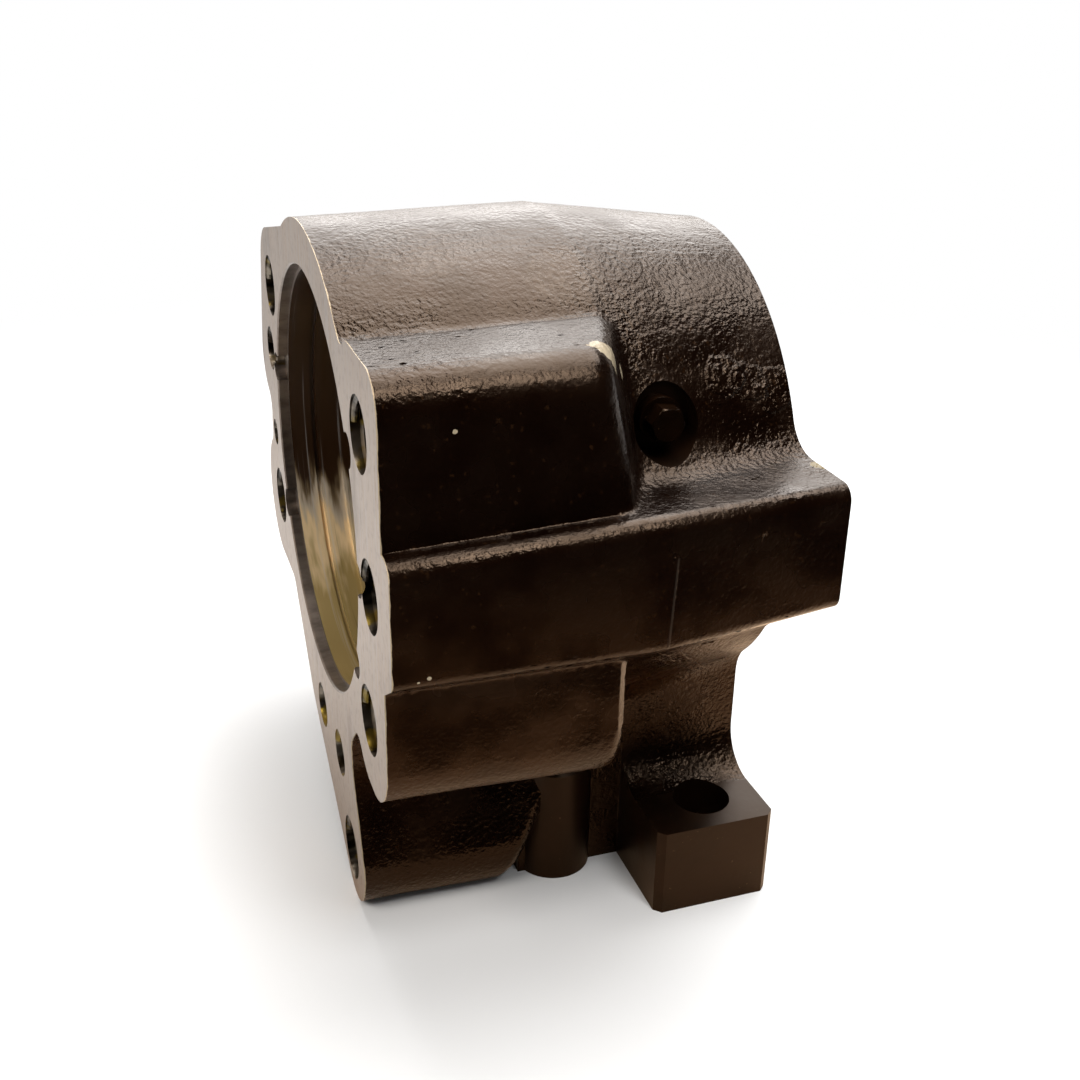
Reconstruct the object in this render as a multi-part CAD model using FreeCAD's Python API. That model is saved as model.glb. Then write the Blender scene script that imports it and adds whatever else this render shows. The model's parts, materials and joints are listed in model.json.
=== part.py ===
# Gearbox housing: one machined iron casting, with a screw plug and its washer in a side port.
# Frame in millimetres: the origin is the centre of the main bore on the machined front face,
# X runs back along the bore, Z is up, and the side with the plug faces -Y.
import FreeCAD, Part
import math
import os
from FreeCAD import Vector

# Overall lengths along the bore, and the plane that the casting stands on
housing_length = 140.0
parting_x = 82.0
rear_body_start = 72.0
floor_z = -140.0

# Front flange, its outline given as (y, z) places in the front face
shell_radius = 87.5
flange_draft = 2.1
flange_end = 84.0
flange_end_slant = 0.52
flange_rim_chamfer = 3.0
lower_lobe_end = 74.5
lobe_blend = 7.0
upper_lobe_side = -106.4
upper_lobe_top = 68.5
upper_lobe_corner = 11.5
lower_lobe_side = -104.5
lower_lobe_bottom = -70.5
lower_lobe_corner = 20.0
far_high_lobe = (75.5, 49.5, 21.0)
far_high_run = (28.5, 59.0, 21.2)
far_shoulder = (93.5, 16.0, 15.0)
far_screw_lobe = (85.0, -11.5, 9.2)
far_low_lobe = (86.0, -40.5, 24.0)
far_low_run = (62.0, -42.0, 22.5)
web_bulge = (1.5, -68.2, 40.0)
tail_lobe = (-44.5, -122.8, 17.2)
tail_neck_side = -48.5
tail_neck_low = -92.0

# Side box that runs the whole length of the near side
box_side = -115.2
box_side_mid = -117.0
box_side_rear = -112.0
box_top = 20.0
box_top_mid = 24.5
box_top_rear = 25.0
box_bottom = -17.5
box_bottom_mid = -17.0
box_bottom_rear = -13.5
box_corner = 5.0
box_under_angle = 34.0

# Rear barrel and the pedestal under it
barrel_radius_mid = 88.9
barrel_radius_rear = 81.7
barrel_cover = 0.1
body_blend = 15.0
pedestal_half_width = 52.0
pedestal_start = 58.0
casting_core = 60.0

# Feet at the rear, one on each side of the pedestal
foot_length = 43.4
foot_reach = 36.6
foot_height = 33.2
foot_chamfer = 2.5
foot_blend = 15.0
foot_bolt_radius = 10.0
foot_bolt_from_rear = 20.5
foot_bolt_y = 72.0

# Vertical boss between the tail lobe and the near foot
boss_x = 73.0
boss_y = -46.5
boss_radius = 13.5
boss_top = -95.5
boss_chamfer = 1.0

# Main bore and the core behind it
bore_radius = 72.5
bore_mouth_chamfer = 0.5
bore_land_end = 4.0
seat_radius = 71.0
seat_end = 12.0
groove_width = 1.6
groove_depth = 1.2
inner_seat_radius = 70.2
inner_seat_end = 22.0
cavity_radius = 68.0
rear_wall = 22.0
rear_bore_radius = 50.0
rear_register_radius = 60.0
rear_register_depth = 3.0

# Relief cuts in the edge of the main bore
relief_radius = 5.5
relief_pitch = 73.5
relief_angles = (152.0, 182.5, 209.0, 15.0, -28.0)

# Tapped holes in the front face
stud_bore_radius = 9.7
stud_mouth_radius = 11.2
stud_depth = 46.0
stud_places = (
    (-82.3, 45.5), (-89.0, -1.2), (-81.5, -46.7), (-40.5, -123.8), (74.6, 49.5), (82.3, -38.3))
screw_bore_radius = 7.0
screw_mouth_radius = 8.5
screw_depth = 24.0
screw_places = ((83.7, 22.8), (6.3, -92.7), (-25.9, -93.6))
small_screw_bore_radius = 4.25
small_screw_mouth_radius = 5.2
small_screw_place = (85.5, -12.2)

# Tapped holes in the rear face
rear_tap_pitch = 70.5
rear_tap_bore_radius = 5.1
rear_tap_depth = 16.0
rear_tap_count = 8

# Side port, its sealing washer and its plug
port_x = 94.1
port_z = 38.2
port_floor = -70.5
spot_radius = 11.2
port_bore_radius = 5.0
port_depth = 20.0
thread_clearance = 0.15
washer_radius = 7.0
washer_thickness = 1.5
collar_radius = 7.0
collar_thickness = 3.0
hex_across_flats = 10.0
hex_height = 6.0
hex_chamfer = 0.7
hex_turn = -8.0
shank_length = 10.0
shank_chamfer = 0.8


# Flat outlines in the plane of the front face

def disc(y, z, radius):
    circle = Part.Circle(Vector(0, y, z), Vector(1, 0, 0), radius)
    return Part.Face(Part.Wire(circle.toShape()))


def flat(points):
    corners = [Vector(0, y, z) for y, z in points]
    following = points[1:] + points[:1]
    turning = sum(a[0] * b[1] - b[0] * a[1] for a, b in zip(points, following))
    if turning < 0:
        corners.reverse()
    return Part.Face(Part.makePolygon(corners + corners[:1]))


def rectangle(y_low, y_high, z_low, z_high):
    return flat([(y_low, z_low), (y_high, z_low), (y_high, z_high), (y_low, z_high)])


def joined(faces):
    return faces[0].fuse(faces[1:]).removeSplitter().Faces[0]


def belt(first, second):
    # The area inside a belt that runs round two discs
    span_y = second[0] - first[0]
    span_z = second[1] - first[1]
    heading = math.atan2(span_z, span_y)
    lean = math.acos((first[2] - second[2]) / math.hypot(span_y, span_z))
    sides = []
    for turn in (heading + lean, heading - lean):
        reach = (math.cos(turn), math.sin(turn))
        sides.append([(y + r * reach[0], z + r * reach[1]) for y, z, r in (first, second)])
    web = flat([sides[0][0], sides[0][1], sides[1][1], sides[1][0]])
    return joined([disc(*first), web, disc(*second)])


def hollows_rounded(face, radius):
    return face.makeOffset2D(radius).Faces[0].makeOffset2D(-radius).Faces[0]


def corners_rounded(face, radius):
    return face.makeOffset2D(-radius).Faces[0].makeOffset2D(radius).Faces[0]


# Solids made from the outlines

def at(face, x):
    moved = face.copy()
    moved.translate(Vector(x, 0, 0))
    return moved


def ruled(front, rear):
    return Part.makeLoft([front.OuterWire, rear.OuterWire], True, True)


def prism(face, start, end):
    return at(face, start).extrude(Vector(end - start, 0, 0))


def turned(profile):
    # Turned about the main bore, from (x, radius) places
    places = [Vector(x, radius, 0) for x, radius in profile]
    face = Part.Face(Part.makePolygon(places + places[:1]))
    return face.revolve(Vector(0, 0, 0), Vector(1, 0, 0), 360)


def mirrored(solid):
    return solid.mirror(Vector(0, 0, 0), Vector(0, 1, 0))


def between(low, high, share):
    return low + (high - low) * share


# Raw casting

def flange_outline():
    upper = rectangle(upper_lobe_side, -casting_core, 0, upper_lobe_top)
    lower = rectangle(lower_lobe_side, -casting_core, lower_lobe_bottom, 0)
    shell = (0, 0, shell_radius)
    neck = flat([
        (tail_neck_side, -casting_core),
        (tail_neck_side, tail_neck_low),
        (tail_lobe[0] - tail_lobe[2], tail_lobe[1]),
        tail_lobe[:2],
        (casting_core, -casting_core)])
    outline = joined([
        disc(*shell),
        corners_rounded(upper, upper_lobe_corner),
        corners_rounded(lower, lower_lobe_corner),
        belt(far_high_run, far_high_lobe),
        belt(far_high_lobe, far_shoulder),
        disc(*far_screw_lobe),
        belt(far_low_run, far_low_lobe),
        belt(shell, web_bulge),
        belt(web_bulge, tail_lobe),
        neck])
    return hollows_rounded(outline, lobe_blend)


def rim_chamfered(solid, is_end):
    # Breaks the edges where the end faces meet the sides
    end_edges = {edge.hashCode() for face in solid.Faces if is_end(face) for edge in face.Edges}
    sides = [face for face in solid.Faces if face.BoundBox.XMin < 1 and face.BoundBox.XMax > 1]
    rim = [edge for face in sides for edge in face.Edges if edge.hashCode() in end_edges]
    return solid.makeChamfer(flange_rim_chamfer, rim)


def flange():
    # The end is a cone about the bore, and a flat on the lower lobe
    outline = flange_outline()
    grown = outline.makeOffset2D(flange_draft).Faces[0]
    block = ruled(outline, at(grown, flange_end + flange_rim_chamfer))
    cone_height = flange_end + flange_end_slant * shell_radius
    cone = Part.makeCone(cone_height / flange_end_slant, 0, cone_height,
                         Vector(0, 0, 0), Vector(1, 0, 0))
    coned = rim_chamfered(block.common(cone), lambda face: face.BoundBox.XMin > 1)
    lobe = block.common(Part.makeBox(
        lower_lobe_end, casting_core, casting_core,
        Vector(0, -2 * casting_core, lower_lobe_bottom - flange_draft - 1)))
    lobe = rim_chamfered(lobe, lambda face: face.BoundBox.XMin > lower_lobe_end - 0.01)
    return coned.fuse(lobe)


def box_outline(side, top, bottom):
    drop = math.tan(math.radians(box_under_angle)) * (-casting_core - side)
    face = flat([
        (side, top),
        (side, bottom),
        (-casting_core, bottom - drop),
        (-casting_core, top)])
    return corners_rounded(face, box_corner)


def box_outline_at(x):
    share = x / parting_x
    return box_outline(
        between(box_side, box_side_mid, share),
        between(box_top, box_top_mid, share),
        between(box_bottom, box_bottom_mid, share))


def body_outline(box, core):
    pedestal = rectangle(-pedestal_half_width, pedestal_half_width, floor_z, 0)
    return hollows_rounded(joined([core, box, pedestal]), body_blend)


def barrel():
    along = Vector(1, 0, 0)
    front = Part.makeCylinder(barrel_radius_mid, parting_x - rear_body_start,
                              Vector(rear_body_start, 0, 0), along)
    rear = Part.makeCone(barrel_radius_mid, barrel_radius_rear, housing_length - parting_x,
                         Vector(parting_x, 0, 0), along)
    return [front, rear]


def rear_body():
    # The blended body lies a little under the true barrel and carries the box and pedestal
    inner_mid = disc(0, 0, barrel_radius_mid - barrel_cover)
    inner_rear = disc(0, 0, barrel_radius_rear - barrel_cover)
    start = body_outline(box_outline_at(rear_body_start), inner_mid)
    middle = body_outline(box_outline_at(parting_x), inner_mid)
    rear_box = box_outline(box_side_rear, box_top_rear, box_bottom_rear)
    rear = body_outline(rear_box, inner_rear)
    front_half = ruled(at(start, rear_body_start), at(middle, parting_x))
    rear_half = ruled(at(middle, parting_x), at(rear, housing_length))
    return front_half.fuse([rear_half] + barrel())


def front_box():
    return ruled(box_outline_at(0), at(box_outline_at(rear_body_start), rear_body_start))


def foot():
    side = -pedestal_half_width - foot_reach
    inside = -pedestal_half_width + foot_blend
    block = rectangle(side, inside, floor_z, floor_z + foot_height)
    wall = rectangle(-pedestal_half_width, inside, floor_z, -casting_core)
    outline = hollows_rounded(joined([block, wall]), foot_blend)
    solid = prism(outline, housing_length - foot_length, housing_length)
    corners = [edge for edge in solid.Edges
               if edge.BoundBox.YMax < side + 0.01 and edge.BoundBox.XLength < 0.01]
    return solid.makeChamfer(foot_chamfer, corners)


def boss():
    solid = Part.makeCylinder(boss_radius, boss_top - floor_z, Vector(boss_x, boss_y, floor_z))
    rim = [edge for edge in solid.Edges if edge.BoundBox.ZMin > floor_z]
    return solid.makeChamfer(boss_chamfer, rim)


def raw_casting():
    pedestal_front = prism(
        rectangle(-pedestal_half_width, pedestal_half_width, floor_z, -casting_core),
        pedestal_start, rear_body_start)
    near_foot = foot()
    whole = flange().fuse(
        [front_box(), rear_body(), pedestal_front, near_foot, mirrored(near_foot), boss()])
    bounds = whole.BoundBox
    above_floor = Part.makeBox(
        bounds.XLength + 2, bounds.YLength + 2, bounds.ZMax + 1 - floor_z,
        Vector(bounds.XMin - 1, bounds.YMin - 1, floor_z))
    return whole.common(above_floor).removeSplitter()


# Machined cuts

def main_bore():
    core_end = housing_length - rear_wall
    register = housing_length - rear_register_depth
    return turned([
        (-1, 0),
        (-1, bore_radius + bore_mouth_chamfer + 1),
        (bore_mouth_chamfer, bore_radius),
        (bore_land_end, bore_radius),
        (bore_land_end, seat_radius),
        (seat_end, seat_radius),
        (seat_end, seat_radius + groove_depth),
        (seat_end + groove_width, seat_radius + groove_depth),
        (seat_end + groove_width, inner_seat_radius),
        (inner_seat_end, inner_seat_radius),
        (inner_seat_end, cavity_radius),
        (core_end, cavity_radius),
        (core_end, rear_bore_radius),
        (register, rear_bore_radius),
        (register, rear_register_radius),
        (housing_length + 1, rear_register_radius),
        (housing_length + 1, 0)])


def drilled(place, direction, bore, mouth, depth):
    countersink = Part.makeCone(mouth, bore, mouth - bore, place, direction)
    return Part.makeCylinder(bore, depth, place, direction).fuse(countersink)


def front_holes():
    inward = Vector(1, 0, 0)
    studs = [drilled(Vector(0, y, z), inward, stud_bore_radius, stud_mouth_radius, stud_depth)
             for y, z in stud_places]
    screws = [drilled(Vector(0, y, z), inward, screw_bore_radius, screw_mouth_radius, screw_depth)
              for y, z in screw_places]
    small = drilled(Vector(0, *small_screw_place), inward,
                    small_screw_bore_radius, small_screw_mouth_radius, screw_depth)
    return studs + screws + [small]


def around(angle, pitch, x):
    turn = math.radians(angle)
    return Vector(x, pitch * math.cos(turn), pitch * math.sin(turn))


def rear_holes():
    spacing = 360.0 / rear_tap_count
    start = housing_length - rear_tap_depth
    return [Part.makeCylinder(rear_tap_bore_radius, rear_tap_depth,
                              around(spacing * (index + 0.5), rear_tap_pitch, start),
                              Vector(1, 0, 0))
            for index in range(rear_tap_count)]


def bore_reliefs():
    return [Part.makeCylinder(relief_radius, bore_land_end,
                              around(angle, relief_pitch, 0), Vector(1, 0, 0))
            for angle in relief_angles]


def side_port():
    inward = Vector(0, 1, 0)
    centre = Vector(port_x, port_floor, port_z)
    spot = Part.makeCylinder(spot_radius, casting_core, centre, inward * -1)
    hole = Part.makeCylinder(port_bore_radius, port_depth, centre, inward)
    return [spot, hole]


def foot_hole(side):
    place = Vector(housing_length - foot_bolt_from_rear, side * foot_bolt_y, floor_z - 1)
    return Part.makeCylinder(foot_bolt_radius, foot_height + 2, place)


def housing():
    cuts = [main_bore(), foot_hole(-1), foot_hole(1)]
    cuts += front_holes() + rear_holes() + bore_reliefs() + side_port()
    return raw_casting().cut(cuts)


# Plug and washer of the side port, built along +Y from the floor of the spot face

def along_port(solid, start):
    solid.rotate(Vector(0, 0, 0), Vector(1, 0, 0), 90)
    solid.translate(Vector(port_x, start, port_z))
    return solid


def plug_seal():
    outer = Part.makeCylinder(washer_radius, washer_thickness)
    inner = Part.makeCylinder(port_bore_radius, washer_thickness)
    return along_port(outer.cut(inner), port_floor)


def hex_head():
    corner = hex_across_flats / math.sqrt(3)
    turns = [math.radians(60 * index + hex_turn) for index in range(7)]
    points = [Vector(corner * math.cos(turn), corner * math.sin(turn), 0) for turn in turns]
    hexagon = Part.Face(Part.makePolygon(points)).extrude(Vector(0, 0, hex_height))
    turned_bar = Part.makeCylinder(corner, hex_height)
    top = [edge for edge in turned_bar.Edges if edge.BoundBox.ZMin > hex_height - 0.01]
    return hexagon.common(turned_bar.makeChamfer(hex_chamfer, top))


def side_plug():
    radius = port_bore_radius - thread_clearance
    length = shank_length + washer_thickness
    shank = Part.makeCylinder(radius, length, Vector(0, 0, -length))
    tip = [edge for edge in shank.Edges if edge.BoundBox.ZMax < 0.01 - length]
    collar = Part.makeCylinder(collar_radius, collar_thickness)
    head = hex_head()
    head.translate(Vector(0, 0, collar_thickness))
    solid = shank.makeChamfer(shank_chamfer, tip).fuse([collar, head]).removeSplitter()
    return along_port(solid, port_floor - washer_thickness)


def main():
    os.makedirs("parts", exist_ok=True)
    housing().exportStep("parts/housing.step")
    side_plug().exportStep("parts/side_plug.step")
    plug_seal().exportStep("parts/plug_seal.step")


main()
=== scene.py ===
import json
import math

import bmesh
import bpy
from mathutils import Matrix, Vector, noise


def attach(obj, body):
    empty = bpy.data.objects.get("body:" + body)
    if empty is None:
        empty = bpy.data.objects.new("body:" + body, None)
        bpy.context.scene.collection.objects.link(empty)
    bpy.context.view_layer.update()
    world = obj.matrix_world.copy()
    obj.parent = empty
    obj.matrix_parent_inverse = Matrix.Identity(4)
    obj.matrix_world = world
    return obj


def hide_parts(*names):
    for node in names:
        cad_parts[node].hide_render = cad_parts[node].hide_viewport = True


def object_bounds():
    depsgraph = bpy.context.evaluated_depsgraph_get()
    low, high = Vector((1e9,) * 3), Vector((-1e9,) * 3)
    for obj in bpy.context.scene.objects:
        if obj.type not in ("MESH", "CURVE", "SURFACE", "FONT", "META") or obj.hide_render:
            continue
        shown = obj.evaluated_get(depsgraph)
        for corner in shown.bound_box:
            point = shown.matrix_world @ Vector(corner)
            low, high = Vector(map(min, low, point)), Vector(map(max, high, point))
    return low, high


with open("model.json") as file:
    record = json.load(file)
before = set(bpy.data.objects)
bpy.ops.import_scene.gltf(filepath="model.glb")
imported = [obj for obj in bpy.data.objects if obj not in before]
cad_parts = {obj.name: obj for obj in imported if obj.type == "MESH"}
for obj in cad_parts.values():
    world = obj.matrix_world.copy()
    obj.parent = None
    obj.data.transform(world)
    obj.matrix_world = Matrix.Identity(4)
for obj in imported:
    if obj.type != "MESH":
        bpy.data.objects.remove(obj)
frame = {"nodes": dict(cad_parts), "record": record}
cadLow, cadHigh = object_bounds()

mm = 0.001
print("frame loaded, mm:", [round(side / mm, 1) for side in cadHigh - cadLow])


# Small helpers

def linear(code):
    # sRGB hex to linear light
    parts = [int(code[at:at + 2], 16) / 255 for at in (1, 3, 5)]
    parts = [c / 12.92 if c <= 0.04045 else ((c + 0.055) / 1.055) ** 2.4 for c in parts]
    return (*parts, 1.0)


def addNode(tree, kind, links=None, **settings):
    # Keys of links are socket names or numbers, values are sockets or constants, and it returns the outputs
    made = tree.nodes.new("ShaderNode" + kind)
    for key, value in settings.items():
        setattr(made, key, value)
    for key, value in (links or {}).items():
        if isinstance(value, bpy.types.NodeSocket):
            tree.links.new(value, made.inputs[key])
        else:
            made.inputs[key].default_value = value
    return made.outputs


eased = {"interpolation_type": "SMOOTHSTEP"}      # for Map Range


def newMaterial(name):
    made = bpy.data.materials.new(name)
    made.use_nodes = True
    made.node_tree.nodes.clear()
    return made, made.node_tree


def finishMaterial(tree, links):
    shader = addNode(tree, "BsdfPrincipled", links)[0]
    addNode(tree, "OutputMaterial", {"Surface": shader})


def place(tree, squeeze=(1, 1, 1)):
    # Object coordinates in millimetres, squeezed along an axis where a pattern runs long
    raw = addNode(tree, "TexCoord")["Object"]
    return addNode(tree, "Mapping", {0: raw, "Scale": [value / mm for value in squeeze]})[0]


def blobs(size):
    # Scale at which the blobs of a noise are about size millimetres wide
    return 0.5 / size


def spot(tree, where, centre, radius, ragged, tooth):
    # 1 within radius millimetres of centre, with a ragged rim whose teeth are tooth millimetres wide
    away = addNode(tree, "VectorMath", {0: where, 1: centre}, operation="DISTANCE")["Value"]
    teeth = {"Vector": where, "Scale": blobs(tooth), "Detail": 5.0, "Roughness": 0.65}
    edge = addNode(tree, "TexNoise", teeth)[0]
    near = addNode(tree, "Math", {0: edge, 1: ragged, 2: away}, operation="MULTIPLY_ADD")[0]
    low, high = radius * 0.9 + ragged * 0.5, radius * 1.1 + ragged * 0.5
    return addNode(tree, "MapRange", {0: near, 1: low, 2: high, 3: 1.0, 4: 0.0}, **eased)[0]


# Materials

castPaintValues = {
    # brown is the coat's tone in its clouds and, lower down, painted light; deep is its near black, also
    # painted shade high up
    "deep": "#070201", "brown": "#2c1808", "fleck": "#2a190b", "chip": "#a0937b", "rust": "#5a4d1c",
    # line is the pale front rim: bare iron, painted paler still as a highlight along the edge
    "line": "#a8987e", "dust": "#82766b", "sheen": "#eecaaa", "gloss": 0.2, "shine": 0.38,
    # widths of the sand grain and of what lies over it, and the depth of it all, mm
    "grainSize": 0.75, "pitSize": 1.7, "lumpSize": 9.0, "calmSize": 24.0, "fleckSize": 1.0,
    "grainDepth": 1.1, "grainShare": 0.5, "pitShare": 0.3, "lumpShare": 0.35, "runShare": 0.9,
    "sideStart": -92.0, "sideEnd": -103.0, "sideCalm": 0.5,       # the near side lies smoother
    # heights where painted shade high up gives way to painted light lower down, and where painted shade
    # falls at the tail's foot
    "paintedShadeAbove": 24.0, "paintedLightBelow": -34.0, "tailPaintedShadeEnd": -84.0, "tailPaintedShadeFull": -98.0,      # heights, mm
    # the front rim's width also carries a painted highlight along the edge
    "frontRimHighlight": 0.3, "frontWander": 0.9,                         # the bare rim round the front face, mm
    # the line where the mould's halves met, on the side box, mm
    "seamWidth": 0.45, "seamFoot": 82.3, "seamLean": 0.05, "seamHeight": 0.05, "seamDust": 0.07,
    "seamOut": (-104.0, -106.0), "seamTop": (13.0, 11.0), "seamBottom": (-26.0, -22.0),
    # centre and radius of each mark, mm
    "chips": (((66.5, -95.5, 68.6), 4.2), ((69.5, -94.6, 65.0), 4.0), ((77.7, -82.0, 56.6), 2.4)),
    "specks": (((20.8, -106.9, 52.7), 0.7), ((10.5, -115.4, -15.0), 0.6), ((7.5, -115.0, -16.0), 0.4)),
    "stains": (((139.5, -92.5, 27.0), 3.4), ((139.5, -86.0, 31.5), 2.6)),
    "palePatches": (((31.7, -29.6, 83.1), 15.0), ((72.8, -45.6, 76.7), 13.0)),
    "runs": (((117.5, -69.2, 48.4), 7.0), ((125.5, -70.0, 46.0), 6.5), ((134.5, -71.0, 42.5), 7.5)),
}


def partingLine(tree, across, outward, up):
    # 1 on the thin upright ridge, which ends short of the box's rounded edges
    v = castPaintValues
    middle = {0: up, 1: v["seamLean"], 2: v["seamFoot"]}
    middle = addNode(tree, "Math", middle, operation="MULTIPLY_ADD")[0]
    away = addNode(tree, "Math", {0: across, 1: middle}, operation="SUBTRACT")[0]
    away = addNode(tree, "Math", {0: away}, operation="ABSOLUTE")[0]
    width = {0: away, 1: v["seamWidth"] * 0.5, 2: v["seamWidth"], 3: 1.0, 4: 0.0}
    seam = addNode(tree, "MapRange", width, **eased)[0]
    for value, limits in ((outward, v["seamOut"]), (up, v["seamTop"]), (up, v["seamBottom"])):
        share = addNode(tree, "MapRange", {0: value, 1: limits[0], 2: limits[1]}, **eased)[0]
        seam = addNode(tree, "Math", {0: seam, 1: share}, operation="MULTIPLY")[0]
    return seam


def sandCastHeight(tree, where, outward, fine, pits, lumps):
    # Sand grain, pits and lumps, calmer in patches and on the near side, with curls of run paint
    v = castPaintValues
    height = 0.0
    for pattern, share in ((fine, v["grainShare"]), (pits, v["pitShare"]), (lumps, v["lumpShare"])):
        height = addNode(tree, "Math", {0: pattern, 1: share, 2: height}, operation="MULTIPLY_ADD")[0]
    patches = addNode(tree, "TexNoise", {"Vector": where, "Scale": blobs(v["calmSize"])})[0]
    calm = addNode(tree, "MapRange", {0: patches, 1: 0.38, 2: 0.62, 3: 0.5}, **eased)[0]
    side = {0: outward, 1: v["sideStart"], 2: v["sideEnd"], 3: 1.0, 4: v["sideCalm"]}
    for share in (calm, addNode(tree, "MapRange", side, **eased)[0]):
        height = addNode(tree, "Math", {0: height, 1: share}, operation="MULTIPLY")[0]
    for centre, radius in v["runs"]:
        run = spot(tree, where, centre, radius, 9.0, 4.0)
        curl = addNode(tree, "Math", {0: run, 1: pits}, operation="MULTIPLY")[0]
        curl = {0: curl, 1: v["runShare"], 2: height}
        height = addNode(tree, "Math", curl, operation="MULTIPLY_ADD")[0]
    return height


def sandCastColour(tree, where, up, fine, lumps):
    # The coat is painted near black as shade high up and at the foot of the tail, and browner between as
    # painted light
    v = castPaintValues
    # Painted light and shade by height: brown lower down, near black high up and at the tail's foot
    brown = addNode(tree, "MapRange", {0: up, 1: v["paintedShadeAbove"], 2: v["paintedLightBelow"], 3: 0.1}, **eased)[0]
    tailShade = addNode(tree, "MapRange", {0: up, 1: v["tailPaintedShadeFull"], 2: v["tailPaintedShadeEnd"], 3: 0.2}, **eased)[0]
    cloud = addNode(tree, "MapRange", {0: lumps, 1: 0.3, 2: 0.65, 3: 0.3}, **eased)[0]
    for share in (tailShade, cloud):
        brown = addNode(tree, "Math", {0: brown, 1: share}, operation="MULTIPLY")[0]
    colour = {0: brown, 6: linear(v["deep"]), 7: linear(v["brown"])}
    colour = addNode(tree, "Mix", colour, data_type="RGBA")[2]
    fleck = addNode(tree, "TexNoise", {"Vector": where, "Scale": blobs(v["fleckSize"])})[0]
    fleck = addNode(tree, "MapRange", {0: fleck, 1: 0.64, 2: 0.74, 4: 0.5}, **eased)[0]
    colour = addNode(tree, "Mix", {0: fleck, 6: colour, 7: linear(v["fleck"])}, data_type="RGBA")[2]
    for centre, radius in v["palePatches"]:
        # Pale taupe patches on top, mottled by the sand grain
        sandy = addNode(tree, "MapRange", {0: fine, 1: 0.4, 2: 0.65, 4: 0.14}, **eased)[0]
        palePatches = spot(tree, where, centre, radius, 16.0, 6.0)
        sandy = addNode(tree, "Math", {0: palePatches, 1: sandy}, operation="MULTIPLY")[0]
        colour = addNode(tree, "Mix", {0: sandy, 6: colour, 7: linear(v["dust"])}, data_type="RGBA")[2]
    return colour


def sandCastPaint():
    # Sand-cast iron under a thick coat of gloss: near black, its soft warm shine broken by the sand grain
    v = castPaintValues
    made, tree = newMaterial("castIronGlossPainted")
    where = place(tree)
    across, outward, up = addNode(tree, "SeparateXYZ", {0: where})[:3]
    fine = addNode(tree, "TexNoise", {"Vector": where, "Scale": blobs(v["grainSize"])})[0]
    pits = {"Vector": where, "Scale": blobs(v["pitSize"]), "Roughness": 0.55}
    pits = addNode(tree, "TexNoise", pits)[0]
    lumps = addNode(tree, "TexNoise", {"Vector": where, "Scale": blobs(v["lumpSize"])})[0]
    height = sandCastHeight(tree, where, outward, fine, pits, lumps)
    seam = partingLine(tree, across, outward, up)
    height = addNode(tree, "Math", {0: seam, 1: v["seamHeight"], 2: height}, operation="MULTIPLY_ADD")[0]
    colour = sandCastColour(tree, where, up, fine, lumps)
    dusty = addNode(tree, "Math", {0: seam, 1: v["seamDust"]}, operation="MULTIPLY")[0]
    marks = [(dusty, "dust")]
    marks += [(spot(tree, where, centre, radius, 5.0, 3.0), "rust") for centre, radius in v["stains"]]
    for centre, radius in v["chips"] + v["specks"]:
        ragged = radius * 2.4 if radius > 1.5 else 0.8
        marks.append((spot(tree, where, centre, radius, ragged, radius * 0.55), "chip"))
    # A pale line round the front face: a bare rim, and a painted highlight along the edge
    wander = addNode(tree, "TexNoise", {"Vector": where, "Scale": blobs(3.0), "Detail": 3.0})[0]
    rim = {0: wander, 1: v["frontWander"], 2: across}
    rim = addNode(tree, "Math", rim, operation="MULTIPLY_ADD")[0]
    rim = {0: rim, 1: v["frontRimHighlight"] + 0.35, 2: v["frontRimHighlight"] + 0.55, 3: 1.0, 4: 0.0}
    marks.append((addNode(tree, "MapRange", rim, **eased)[0], "line"))
    for share, name in marks:
        colour = addNode(tree, "Mix", {0: share, 6: colour, 7: linear(v[name])}, data_type="RGBA")[2]
    rough = {0: lumps, 1: 0.3, 2: 0.7, 3: v["gloss"] - 0.05, 4: v["gloss"] + 0.12}
    bump = {"Height": height, "Distance": v["grainDepth"] * mm, "Strength": 1.0}
    finishMaterial(tree, {
        "Base Color": colour, "Roughness": addNode(tree, "MapRange", rough, **eased)[0],
        "Specular IOR Level": v["shine"], "Specular Tint": linear(v["sheen"]),
        "Normal": addNode(tree, "Bump", bump)[0]})
    return made


milledValues = {
    "pale": "#9d8c7d", "dull": "#8a7c70", "oil": "#6a5d52",
    "streak": 0.5, "run": 26.0, "smear": 11.0, "mottle": 1.6, "depth": 0.03,      # mm
}


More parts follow.
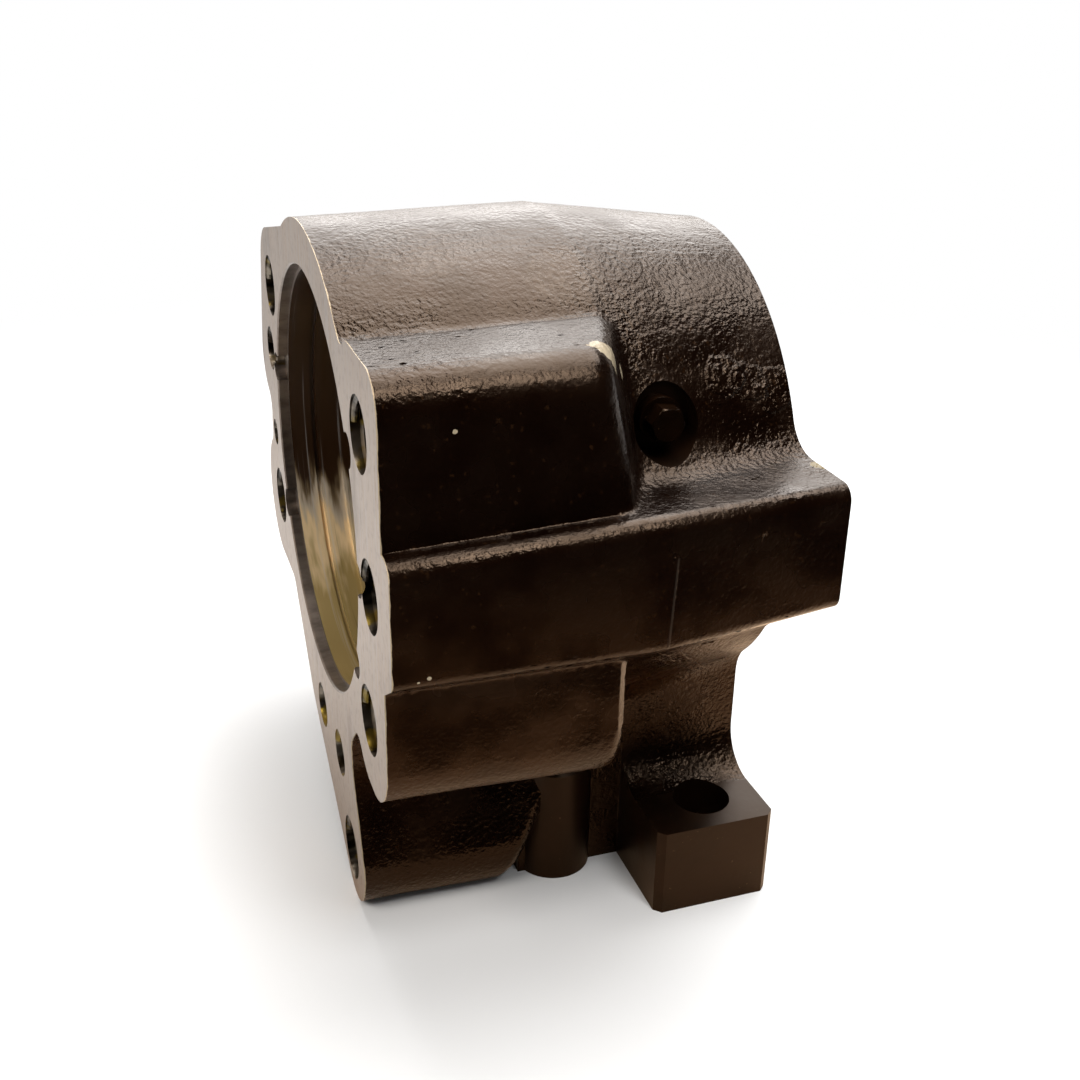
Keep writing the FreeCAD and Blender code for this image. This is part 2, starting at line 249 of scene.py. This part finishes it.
def milledFace():
    # Milled iron, bare: pale grey with the cutter's fine streaks and smears of dried oil
    v = milledValues
    made, tree = newMaterial("castIronMilled")
    upright = place(tree, (1, 1, v["streak"] / v["run"]))
    streaks = {"Vector": upright, "Scale": blobs(v["streak"]), "Detail": 3.0, "Roughness": 0.6}
    streaks = addNode(tree, "TexNoise", streaks)[0]
    smears = place(tree, (1, 1, 0.45))
    smears = {"Vector": smears, "Scale": blobs(v["smear"]), "Detail": 3.0, "Roughness": 0.6}
    smears = addNode(tree, "TexNoise", smears)[0]
    mottle = {"Vector": place(tree), "Scale": blobs(v["mottle"]), "Detail": 3.0}
    mottle = addNode(tree, "TexNoise", mottle)[0]
    share = addNode(tree, "MapRange", {0: streaks, 1: 0.3, 2: 0.7}, **eased)[0]
    colour = {0: share, 6: linear(v["dull"]), 7: linear(v["pale"])}
    colour = addNode(tree, "Mix", colour, data_type="RGBA")[2]
    for pattern, low, high, most in ((smears, 0.54, 0.74, 0.6), (mottle, 0.5, 0.66, 0.35)):
        share = addNode(tree, "MapRange", {0: pattern, 1: low, 2: high, 4: most}, **eased)[0]
        colour = addNode(tree, "Mix", {0: share, 6: colour, 7: linear(v["oil"])}, data_type="RGBA")[2]
    rough = addNode(tree, "MapRange", {0: streaks, 1: 0.3, 2: 0.7, 3: 0.36, 4: 0.5}, **eased)[0]
    bump = {"Height": streaks, "Distance": v["depth"] * mm, "Strength": 1.0}
    finishMaterial(tree, {
        "Base Color": colour, "Metallic": 1.0, "Roughness": rough,
        "Normal": addNode(tree, "Bump", bump)[0]})
    return made


boreValues = {
    "gold": "#e6cb9e", "brown": "#2a1705", "olive": "#8a7434", "steel": "#c4c2c0",
    "hoop": 0.9, "smear": 2.6, "smearReach": 8.0, "depth": 0.05,      # mm
    "bandHeight": -34.0, "oliveHeight": -62.0,                                # heights, mm
}


def oiledBore():
    # Turned iron under a film of old gear oil, with hoops of the turning tool: brown high up, a pale band,
    # gold lower and olive at the bottom
    v = boreValues
    made, tree = newMaterial("castIronTurnedOiled")
    ringed = place(tree, (1, 0.015, 0.015))
    hoops = {"Vector": ringed, "Scale": blobs(v["hoop"]), "Detail": 3.0, "Roughness": 0.65}
    hoops = addNode(tree, "TexNoise", hoops)[0]
    streaky = place(tree, (1, 0.16, 0.16))
    smears = {"Vector": streaky, "Scale": blobs(v["smear"]), "Detail": 3.0, "Roughness": 0.6}
    smears = addNode(tree, "TexNoise", smears)[0]
    up = addNode(tree, "SeparateXYZ", {0: place(tree)})[2]
    reach = {0: smears, 1: 0.3, 2: 0.7, 3: -v["smearReach"], 4: v["smearReach"]}
    reach = addNode(tree, "MapRange", reach, **eased)[0]
    wavyHeight = addNode(tree, "Math", {0: up, 1: reach}, operation="ADD")[0]
    line = addNode(tree, "Math", {0: wavyHeight, 1: v["bandHeight"]}, operation="SUBTRACT")[0]
    line = addNode(tree, "Math", {0: line}, operation="ABSOLUTE")[0]
    # What each layer follows, where it starts and ends, its share at both, and its colour
    layers = (
        (wavyHeight, v["bandHeight"] - 12, v["bandHeight"] + 14, 0.0, 1.0, "brown"),
        (line, 1.0, 8.0, 0.3, 0.0, "steel"),
        (wavyHeight, v["oliveHeight"], v["oliveHeight"] + 16, 0.8, 0.0, "olive"),
        (hoops, 0.6, 0.72, 0.0, 0.3, "steel"),
        (hoops, 0.28, 0.4, 0.5, 0.0, "brown"),
    )
    colour = linear(v["gold"])
    for pattern, low, high, first, last, name in layers:
        share = {0: pattern, 1: low, 2: high, 3: first, 4: last}
        share = addNode(tree, "MapRange", share, **eased)[0]
        colour = addNode(tree, "Mix", {0: share, 6: colour, 7: linear(v[name])}, data_type="RGBA")[2]
    rough = addNode(tree, "MapRange", {0: hoops, 1: 0.3, 2: 0.7, 3: 0.28, 4: 0.42}, **eased)[0]
    bump = {"Height": hoops, "Distance": v["depth"] * mm, "Strength": 1.0}
    finishMaterial(tree, {
        "Base Color": colour, "Metallic": 0.3, "Roughness": rough,
        "Normal": addNode(tree, "Bump", bump)[0]})
    return made


landValues = {"grey": "#7d7269", "dark": "#635a52", "hoop": 0.5, "chatter": 2.2, "depth": 0.04}      # mm


def turnedLand():
    # The register at the mouth of the bore: turned iron, dry and mid grey
    v = landValues
    made, tree = newMaterial("castIronTurnedDry")
    hoops = {"Vector": place(tree, (1, 0.03, 0.03)), "Scale": blobs(v["hoop"]), "Roughness": 0.6}
    hoops = addNode(tree, "TexNoise", hoops)[0]
    chatter = place(tree, (0.5, 1, 1))
    chatter = {"Vector": chatter, "Scale": blobs(v["chatter"]), "Detail": 3.0, "Roughness": 0.6}
    chatter = addNode(tree, "TexNoise", chatter)[0]
    share = addNode(tree, "MapRange", {0: chatter, 1: 0.35, 2: 0.75}, **eased)[0]
    colour = {0: share, 6: linear(v["grey"]), 7: linear(v["dark"])}
    bump = {"Height": hoops, "Distance": v["depth"] * mm, "Strength": 1.0}
    finishMaterial(tree, {
        "Base Color": addNode(tree, "Mix", colour, data_type="RGBA")[2], "Metallic": 1.0,
        "Roughness": 0.42, "Normal": addNode(tree, "Bump", bump)[0]})
    return made


threadValues = {"steel": "#7d7468", "dark": "#17110a", "oil": "#6e5c22", "pool": 6.0, "drop": 4.0}      # mm


def oiledThread():
    # Tapped iron, wet with yellow oil that lies in pools and drops between the turns
    v = threadValues
    made, tree = newMaterial("threadTappedOiled")
    pools = place(tree, (0.3, 1, 1))
    pools = {"Vector": pools, "Scale": blobs(v["pool"]), "Detail": 3.0, "Roughness": 0.6}
    pools = addNode(tree, "TexNoise", pools)[0]
    share = addNode(tree, "MapRange", {0: pools, 1: 0.42, 2: 0.6}, **eased)[0]
    colour = {0: share, 6: linear(v["steel"]), 7: linear(v["dark"])}
    colour = addNode(tree, "Mix", colour, data_type="RGBA")[2]
    drops = {"Vector": place(tree), "Scale": blobs(v["drop"]), "Detail": 3.0}
    drops = addNode(tree, "TexNoise", drops)[0]
    share = addNode(tree, "MapRange", {0: drops, 1: 0.52, 2: 0.64, 4: 0.9}, **eased)[0]
    colour = addNode(tree, "Mix", {0: share, 6: colour, 7: linear(v["oil"])}, data_type="RGBA")[2]
    finishMaterial(tree, {"Base Color": colour, "Metallic": 1.0, "Roughness": 0.3})
    return made


footValues = {
    "brown": "#180b04", "deep": "#0c0502", "edge": "#4b3a2a", "sheen": "#eecaaa", "shine": 0.32,
    "cloud": 14.0, "peel": 1.6, "speck": 0.8, "depth": 0.05,      # mm
}


def machinedPaint(name, gloss):
    # Machined iron or steel painted over: smooth dark brown with a few worn specks
    v = footValues
    made, tree = newMaterial(name)
    where = place(tree)
    clouds = {"Vector": where, "Scale": blobs(v["cloud"]), "Detail": 3.0, "Roughness": 0.6}
    clouds = addNode(tree, "TexNoise", clouds)[0]
    peel = addNode(tree, "TexNoise", {"Vector": where, "Scale": blobs(v["peel"])})[0]
    specks = addNode(tree, "TexNoise", {"Vector": where, "Scale": blobs(v["speck"])})[0]
    share = addNode(tree, "MapRange", {0: clouds, 1: 0.35, 2: 0.65}, **eased)[0]
    colour = {0: share, 6: linear(v["deep"]), 7: linear(v["brown"])}
    colour = addNode(tree, "Mix", colour, data_type="RGBA")[2]
    share = addNode(tree, "MapRange", {0: specks, 1: 0.72, 2: 0.78, 4: 0.6}, **eased)[0]
    colour = addNode(tree, "Mix", {0: share, 6: colour, 7: linear(v["edge"])}, data_type="RGBA")[2]
    rough = {0: clouds, 1: 0.3, 2: 0.7, 3: gloss, 4: gloss + 0.1}
    bump = {"Height": peel, "Distance": v["depth"] * mm, "Strength": 1.0}
    finishMaterial(tree, {
        "Base Color": colour, "Roughness": addNode(tree, "MapRange", rough, **eased)[0],
        "Specular IOR Level": v["shine"], "Specular Tint": linear(v["sheen"]),
        "Normal": addNode(tree, "Bump", bump)[0]})
    return made


# The housing: a copy of the CAD node with a cast skin

finishNames = ("cast", "milled", "bore", "land", "thread", "smooth")
housingValues = {
    "longestEdge": 2.7, "refinePasses": 9,                 # mm, of the skin's mesh
    "flatAngle": 0.09, "skinCrease": 0.9, "cutCrease": 0.5,      # radians
    "edgePasses": 2,                                       # how far the cast edges are rubbed round
    "lumps": ((26.0, 0.2), (9.0, 0.07), (3.6, 0.05)),      # blob width and height, mm
    "skinDrop": 0.12, "bandShare": 0.45,                   # the skin's mean depth, and its share by a cut
    "weld": 0.002, "planeSlack": 0.05, "wallSlack": 0.1,   # mm
    "faceX": 0.0, "landEnd": 4.0, "boreReach": 73.9, "reliefReach": 79.2,
    "pedestalHalf": 52.0, "footTop": -106.8, "footFront": 96.5,
    "bossX": 73.0, "bossY": -46.5, "bossRadius": 13.5, "bossTop": -95.5,
    "portX": 94.1, "portZ": 38.2, "portRadius": 11.2, "portSide": -50.0,
}
tappedValues = {
    # major radius, pitch and mouth radius by the hole's tapping radius, mm
    "sizes": {9.7: (11.0, 2.5, 11.2), 7.0: (8.0, 2.0, 8.5), 4.25: (5.0, 1.5, 5.2), 5.1: (6.0, 1.75, 6.1)},
    "rearDepth": 16.0, "wallReach": 1.6, "wallSlack": 0.12,      # mm
    "mouthSlack": 0.01, "endSlack": 0.1,                         # mm
    "stepsPerTurn": 36,
    "crestHalf": 0.125, "rootHalf": 0.44, "firstTurn": 0.6, "lastTurn": 1.5,      # shares of the pitch
    "buried": 0.05,                                        # mm that the ridge's foot lies in the wall
}


def tappedHoles():
    # Mouth, inward direction, tapping radius and depth of each tapped hole, mm
    record = frame["record"]
    mounts = {mount["name"]: mount for mount in record["mounts"]}
    holes = []
    for mount in mounts.values():
        if mount["kind"] != "threaded_hole":
            continue
        _, y, z = [value / mm for value in mount["pos_m"]]
        radius = mount["dims"]["r_mm"]
        mouth = tappedValues["sizes"][radius][2]
        holes.append((Vector((0, y, z)), 1, radius, mouth - radius + mount["dims"]["length_mm"]))
    pattern = mounts["rear_bolts"]["dims"]
    for index in range(pattern["count"]):
        turn = 2 * math.pi * (index + 0.5) / pattern["count"]
        reach = pattern["pcd_mm"] / 2
        mouth = Vector((cadHigh.x / mm, reach * math.cos(turn), reach * math.sin(turn)))
        holes.append((mouth, -1, pattern["hole_r_mm"], tappedValues["rearDepth"]))
    return holes


def besideHole(point, hole):
    # Whether a point lies between the mouth and the bottom of a hole, rims taken in
    v = tappedValues
    mouth, heading, _, depth = hole
    return -v["mouthSlack"] < (point.x - mouth.x) * heading < depth + v["endSlack"]


def onHoleWall(point, holes):
    for hole in holes:
        mouth, _, radius, _ = hole
        reach = math.hypot(point.y - mouth.y, point.z - mouth.z)
        if besideHole(point, hole) and reach < radius + tappedValues["wallReach"]:
            return True
    return False


def finishOf(centre, normal, holes):
    # Each face of the solid is known by its place: cut faces by their planes and radii, the rest is cast
    v = housingValues
    slack = v["wallSlack"]
    reach = math.hypot(centre.y, centre.z)
    if normal.x < -0.99 and centre.x < v["faceX"] + v["planeSlack"]:
        return "milled"
    if normal.x > 0.99 and centre.x > cadHigh.x / mm - v["planeSlack"]:
        return "milled"
    if onHoleWall(centre, holes):
        return "thread"
    inLand = centre.x < v["landEnd"] + slack
    if reach < v["boreReach"] or (reach < v["reliefReach"] and inLand):
        return "land" if inLand else "bore"
    onFoot = centre.x > v["footFront"] and abs(centre.y) > v["pedestalHalf"] + slack
    fromBoss = math.hypot(centre.x - v["bossX"], centre.y - v["bossY"])
    fromPort = math.hypot(centre.x - v["portX"], centre.z - v["portZ"])
    machined = (
        centre.z < cadLow.z / mm + slack
        or (onFoot and centre.z < v["footTop"] + v["planeSlack"])
        or (fromBoss < v["bossRadius"] + slack and centre.z < v["bossTop"] + slack)
        or (fromPort < v["portRadius"] + slack and centre.y < v["portSide"])
    )
    return "smooth" if machined else "cast"


def mergedCopy(node):
    bm = bmesh.new()
    bm.from_mesh(frame["nodes"][node].data)
    bmesh.ops.scale(bm, vec=(1 / mm, 1 / mm, 1 / mm), verts=bm.verts)
    bmesh.ops.remove_doubles(bm, verts=bm.verts, dist=housingValues["weld"])
    return bm


def isSkin(face):
    return face.material_index == 0


def refineSkin(bm):
    # Splits the long edges of the cast faces until lumps and rubbed edges have enough points
    v = housingValues
    for turn in range(v["refinePasses"]):
        long = [edge for edge in bm.edges if edge.calc_length() > v["longestEdge"]
                and any(isSkin(face) for face in edge.link_faces)]
        if not long:
            break
        bmesh.ops.subdivide_edges(bm, edges=long, cuts=1)
        bmesh.ops.triangulate(bm, faces=[face for face in bm.faces if len(face.verts) > 3])
        skin = [face for face in bm.faces if isSkin(face)]
        level = [edge for edge in bm.edges if len(edge.link_faces) == 2
                 and all(isSkin(face) for face in edge.link_faces)
                 and edge.calc_face_angle(math.pi) < v["flatAngle"]]
        bmesh.ops.beautify_fill(bm, faces=skin, edges=level, method="ANGLE")
    print("skin refined to", len(bm.faces), "faces")


def roughSkin(bm):
    # Rubs the cast edges round and lays the mould's unevenness on the skin, while cut faces stay true
    v = housingValues
    free = [vert for vert in bm.verts if all(isSkin(face) for face in vert.link_faces)]
    for turn in range(v["edgePasses"]):
        bmesh.ops.smooth_vert(bm, verts=free, factor=0.5, use_axis_x=True, use_axis_y=True, use_axis_z=True)
    bm.normal_update()
    freeSet = set(free)
    for vert in free:
        byCut = any(edge.other_vert(vert) not in freeSet for edge in vert.link_edges)
        height = sum(noise.noise(vert.co / size) * amount for size, amount in v["lumps"])
        vert.co += vert.normal * (height - v["skinDrop"]) * (v["bandShare"] if byCut else 1.0)


def makeHousing(materials):
    v = housingValues
    holes = tappedHoles()
    bm = mergedCopy("housing")
    for face in bm.faces:
        name = finishOf(face.calc_center_median(), face.normal, holes)
        face.material_index = finishNames.index(name)
    refineSkin(bm)
    roughSkin(bm)
    openThreads(bm, holes)
    bm.normal_update()
    for face in bm.faces:
        face.smooth = True
    for edge in bm.edges:
        if len(edge.link_faces) == 2:
            first, second = edge.link_faces
            cut = first.material_index != second.material_index
            limit = v["cutCrease"] if cut or not isSkin(first) else v["skinCrease"]
            edge.smooth = edge.calc_face_angle(0.0) < limit
    return finishedPiece(bm, "housing_casting", materials)


def openThreads(bm, holes):
    # Widens each wall to the thread's root, where the ridge of the thread is set in
    v = tappedValues
    for vert in bm.verts:
        for hole in holes:
            mouth, _, radius, _ = hole
            offset = Vector((0, vert.co.y - mouth.y, vert.co.z - mouth.z))
            if besideHole(vert.co, hole) and abs(offset.length - radius) < v["wallSlack"]:
                vert.co += offset.normalized() * (v["sizes"][radius][0] - radius)


def finishedPiece(bm, name, materials):
    bmesh.ops.scale(bm, vec=(mm, mm, mm), verts=bm.verts)
    mesh = bpy.data.meshes.new(name)
    bm.to_mesh(mesh)
    bm.free()
    piece = bpy.data.objects.new(name, mesh)
    bpy.context.scene.collection.objects.link(piece)
    for material in materials:
        mesh.materials.append(material)
    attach(piece, "root")
    print(name, len(mesh.polygons), "faces")
    return piece


def threadRidge(mouth, heading, radius, depth):
    # One turn is spun, its copies are stacked along the axis, and the seams between turns are merged
    v = tappedValues
    root, pitch, mouthRadius = v["sizes"][radius]
    foot = root + v["buried"]
    steps = v["stepsPerTurn"]
    crest, wide = v["crestHalf"], v["rootHalf"]
    profile = ((-wide, foot), (-crest, radius), (crest, radius), (wide, foot))
    bm = bmesh.new()
    verts = [bm.verts.new((pitch * (v["firstTurn"] + share), reach, 0)) for share, reach in profile]
    edges = [bm.edges.new((verts[at], verts[at - 1])) for at in range(4)]
    bmesh.ops.spin(
        bm, geom=edges, cent=(0, 0, 0), axis=(1, 0, 0),
        dvec=(pitch / steps, 0, 0), angle=2 * math.pi, steps=steps)
    turn = bm.verts[:] + bm.edges[:] + bm.faces[:]
    for index in range(1, int((depth - v["lastTurn"] * pitch) / pitch)):
        copied = bmesh.ops.duplicate(bm, geom=turn)["geom"]
        verts = [part for part in copied if isinstance(part, bmesh.types.BMVert)]
        bmesh.ops.translate(bm, vec=(pitch * index, 0, 0), verts=verts)
    bmesh.ops.remove_doubles(bm, verts=bm.verts, dist=0.001)
    bmesh.ops.holes_fill(bm, edges=[edge for edge in bm.edges if edge.is_boundary], sides=4)
    bmesh.ops.recalc_face_normals(bm, faces=bm.faces)
    for vert in bm.verts:
        # The cone at the mouth trims the crest
        reach = math.hypot(vert.co.y, vert.co.z)
        vert.co.x = max(vert.co.x, v["buried"])
        wanted = max(reach, mouthRadius - vert.co.x)
        vert.co.y *= wanted / reach
        vert.co.z *= wanted / reach
    if heading < 0:
        bmesh.ops.rotate(bm, verts=bm.verts, cent=(0, 0, 0), matrix=Matrix.Rotation(math.pi, 3, "Z"))
    bmesh.ops.translate(bm, vec=mouth, verts=bm.verts)
    mesh = bpy.data.meshes.new("ridge")
    bm.to_mesh(mesh)
    bm.free()
    return mesh


def makeThreads(name, holes, material):
    bm = bmesh.new()
    for hole in holes:
        ridge = threadRidge(*hole)
        bm.from_mesh(ridge)
        bpy.data.meshes.remove(ridge)
    for face in bm.faces:
        face.smooth = False
    return finishedPiece(bm, name, [material])


plugValues = {"edgeWidth": 0.35, "edgeAngle": 0.6, "weld": 0.002}      # mm, radians, mm


def softenedEdges(piece):
    # Paint rounds the plug's corners, and each shows as a thin bright line in its dark recess
    weld = piece.modifiers.new("weld", "WELD")
    weld.merge_threshold = plugValues["weld"] * mm
    bevel = piece.modifiers.new("bevel", "BEVEL")
    bevel.width = plugValues["edgeWidth"] * mm
    bevel.segments = 2
    bevel.limit_method = "ANGLE"
    bevel.angle_limit = plugValues["edgeAngle"]


# The studio

studioValues = {
    # the photograph's view: focal length and width of the frame in its pixels, width of the sensor in mm
    "focal": 1337.2, "frameWidth": 1080.0, "sensor": 36.0,
    # the eye in mm, and the picture's right, down and ahead
    "eye": (-66.96, -424.15, 172.37),
    "right": (0.94564, -0.32474, 0.01745),
    "down": (-0.12005, -0.39844, -0.9093),
    "ahead": (0.30224, 0.85778, -0.41577),
    # the paper and the world, and their warm tones in reflections
    "floorColour": "#eaeaea", "mirroredPaper": "#dcbc9c", "worldWarm": "#f3e4d6", "worldDim": 0.12,
    "floorRadius": 6.0, "floorX": 0.05,                    # metres
    "paperNear": 330.0, "paperFar": 800.0, "paperX": 70.0,       # mm from the object to pure white
    "warmStart": -30.0, "warmEnd": 20.0,                   # where along X the mirrored paper turns warm, mm
    # where along Y the unlit room starts, mm, how far it reaches round to +X, and its strength
    "roomStart": -125.0, "roomEnd": -240.0, "roomTurn": 0.55, "roomDark": 0.015,
}
lampValues = {
    # place and target in mm, size of the soft box in mm, watts, colour
    "backSoftbox": ((370, 1010, 620), (70, 0, 0), (1050, 950), 9.0, "#ffffff"),
    "topSoftbox": ((370, 210, 1150), (70, 0, 0), (1000, 960), 21.5, "#ffffff"),
    "shoulderSoftbox": ((255, -660, 1010), (20, -100, 60), (300, 500), 6.5, "#ffffff"),
    "leftSoftbox": ((-750, -450, 800), (0, 20, -20), (500, 500), 9.0, "#fffaf4"),
}


def makeCamera():
    v = studioValues
    camera = bpy.data.objects.new("camera", bpy.data.cameras.new("camera"))
    bpy.context.scene.collection.objects.link(camera)
    right, down, ahead = Vector(v["right"]), Vector(v["down"]), Vector(v["ahead"])
    turn = Matrix((right, -down, -ahead)).transposed()
    camera.matrix_world = Matrix.Translation(Vector(v["eye"]) * mm) @ turn.to_4x4()
    camera.data.sensor_width = v["sensor"]
    camera.data.lens = v["focal"] * v["sensor"] / v["frameWidth"]
    camera.data.clip_start = 0.01
    bpy.context.scene.camera = camera


def makeLamps():
    for name, (at, target, size, watts, colour) in lampValues.items():
        lamp = bpy.data.lights.new(name, "AREA")
        lamp.shape = "RECTANGLE"
        lamp.size, lamp.size_y = [side * mm for side in size]
        lamp.energy = watts
        lamp.color = linear(colour)[:3]
        holder = bpy.data.objects.new(name, lamp)
        bpy.context.scene.collection.objects.link(holder)
        heading = Vector(target) - Vector(at)
        holder.location = Vector(at) * mm
        holder.rotation_euler = heading.to_track_quat("-Z", "Y").to_euler()


def seenRay(tree):
    # 1 where the eye sees the backdrop, straight or in a reflection
    rays = addNode(tree, "LightPath")
    seen = {0: rays["Is Camera Ray"], 1: rays["Is Transmission Ray"]}
    seen = addNode(tree, "Math", seen, operation="MAXIMUM")[0]
    return addNode(tree, "Math", {0: seen, 1: rays["Is Glossy Ray"]}, operation="MAXIMUM")[0]


def makeWorld():
    v = studioValues
    world = bpy.data.worlds.new("studio")
    bpy.context.scene.world = world
    world.use_nodes = True
    tree = world.node_tree
    tree.nodes.clear()
    # The room before and beside the object is unlit, so what faces there mirrors near black
    heading = addNode(tree, "TexCoord")["Generated"]
    aside, ahead = addNode(tree, "SeparateXYZ", {0: heading})[:2]
    turned = addNode(tree, "Math", {0: aside, 1: -v["roomTurn"], 2: ahead}, operation="MULTIPLY_ADD")[0]
    room = addNode(tree, "MapRange", {0: turned, 1: -0.2, 2: 0.15, 3: v["roomDark"]}, **eased)[0]
    mirrored = addNode(tree, "LightPath")["Is Glossy Ray"]
    lit = addNode(tree, "Math", {0: 1.0, 1: mirrored}, operation="SUBTRACT")[0]
    white = addNode(tree, "Math", {0: mirrored, 1: room, 2: lit}, operation="MULTIPLY_ADD")[0]
    dim = addNode(tree, "MapRange", {0: seenRay(tree), 3: v["worldDim"]}, **eased)[0]
    strength = addNode(tree, "Math", {0: dim, 1: white}, operation="MULTIPLY")[0]
    colour = {0: mirrored, 6: linear("#ffffff"), 7: linear(v["worldWarm"])}
    colour = addNode(tree, "Mix", colour, data_type="RGBA")[2]
    sky = addNode(tree, "Background", {"Color": colour, "Strength": strength})[0]
    addNode(tree, "OutputWorld", {"Surface": sky})


def floorPaper():
    # Matte white paper, unprinted: holds the shadow near the object and is pure white farther out
    v = studioValues
    made, tree = newMaterial("floorPaperMatte")
    where = place(tree)
    across, front = addNode(tree, "SeparateXYZ", {0: where})[:2]
    mirrored = addNode(tree, "LightPath")["Is Glossy Ray"]
    # Beside the casting the paper mirrors in the warm tone that the dark paint has in the photograph
    beside = addNode(tree, "MapRange", {0: across, 1: v["warmStart"], 2: v["warmEnd"]}, **eased)[0]
    beside = addNode(tree, "Math", {0: mirrored, 1: beside}, operation="MULTIPLY")[0]
    colour = {0: beside, 6: linear(v["floorColour"]), 7: linear(v["mirroredPaper"])}
    colour = addNode(tree, "Mix", colour, data_type="RGBA")[2]
    paper = addNode(tree, "BsdfDiffuse", {"Color": colour})[0]
    white = addNode(tree, "Emission", {"Color": linear("#ffffff"), "Strength": 1.0})[0]
    away = {0: where, 1: (v["paperX"], 0, cadLow.z / mm)}
    away = addNode(tree, "VectorMath", away, operation="DISTANCE")["Value"]
    share = addNode(tree, "MapRange", {0: away, 1: v["paperNear"], 2: v["paperFar"]}, **eased)[0]
    share = addNode(tree, "Math", {0: share, 1: seenRay(tree)}, operation="MULTIPLY")[0]
    surface = addNode(tree, "MixShader", {0: share, 1: paper, 2: white})[0]
    # The paper ends before the camera, and the gloss of the near side shows the unlit room there
    before = {0: front, 1: v["roomEnd"], 2: v["roomStart"], 3: 1.0, 4: 0.0}
    before = addNode(tree, "MapRange", before, **eased)[0]
    before = addNode(tree, "Math", {0: before, 1: mirrored}, operation="MULTIPLY")[0]
    room = addNode(tree, "Emission", {"Color": linear("#ffffff"), "Strength": v["roomDark"]})[0]
    surface = addNode(tree, "MixShader", {0: before, 1: surface, 2: room})[0]
    addNode(tree, "OutputMaterial", {"Surface": surface})
    return made


def makeFloor():
    v = studioValues
    bm = bmesh.new()
    bmesh.ops.create_circle(bm, cap_ends=True, segments=64, radius=v["floorRadius"])
    bmesh.ops.translate(bm, vec=(v["floorX"], 0, cadLow.z), verts=bm.verts)
    mesh = bpy.data.meshes.new("studio_floor")
    bm.to_mesh(mesh)
    bm.free()
    floor = bpy.data.objects.new("studio_floor", mesh)
    bpy.context.scene.collection.objects.link(floor)
    mesh.materials.append(floorPaper())


# Putting it together

def main():
    cast, thread = sandCastPaint(), oiledThread()
    painted = machinedPaint("castIronMachinedPainted", 0.32)
    # In the order of finishNames
    materials = [cast, milledFace(), oiledBore(), turnedLand(), thread, painted]
    housing = makeHousing(materials)
    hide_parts("housing")
    holes = tappedHoles()
    makeThreads("front_threads", [hole for hole in holes if hole[1] > 0], thread)
    makeThreads("rear_threads", [hole for hole in holes if hole[1] < 0], thread)
    for node in ("side_plug", "plug_seal"):
        piece = frame["nodes"][node]
        piece.data.materials.clear()
        piece.data.materials.append(machinedPaint(node + "SteelPainted", 0.14))
        softenedEdges(piece)
    print("pieces made")
    makeCamera()
    makeLamps()
    makeWorld()
    makeFloor()
    bpy.context.scene.view_settings.view_transform = "Standard"
    print("studio made")


main()
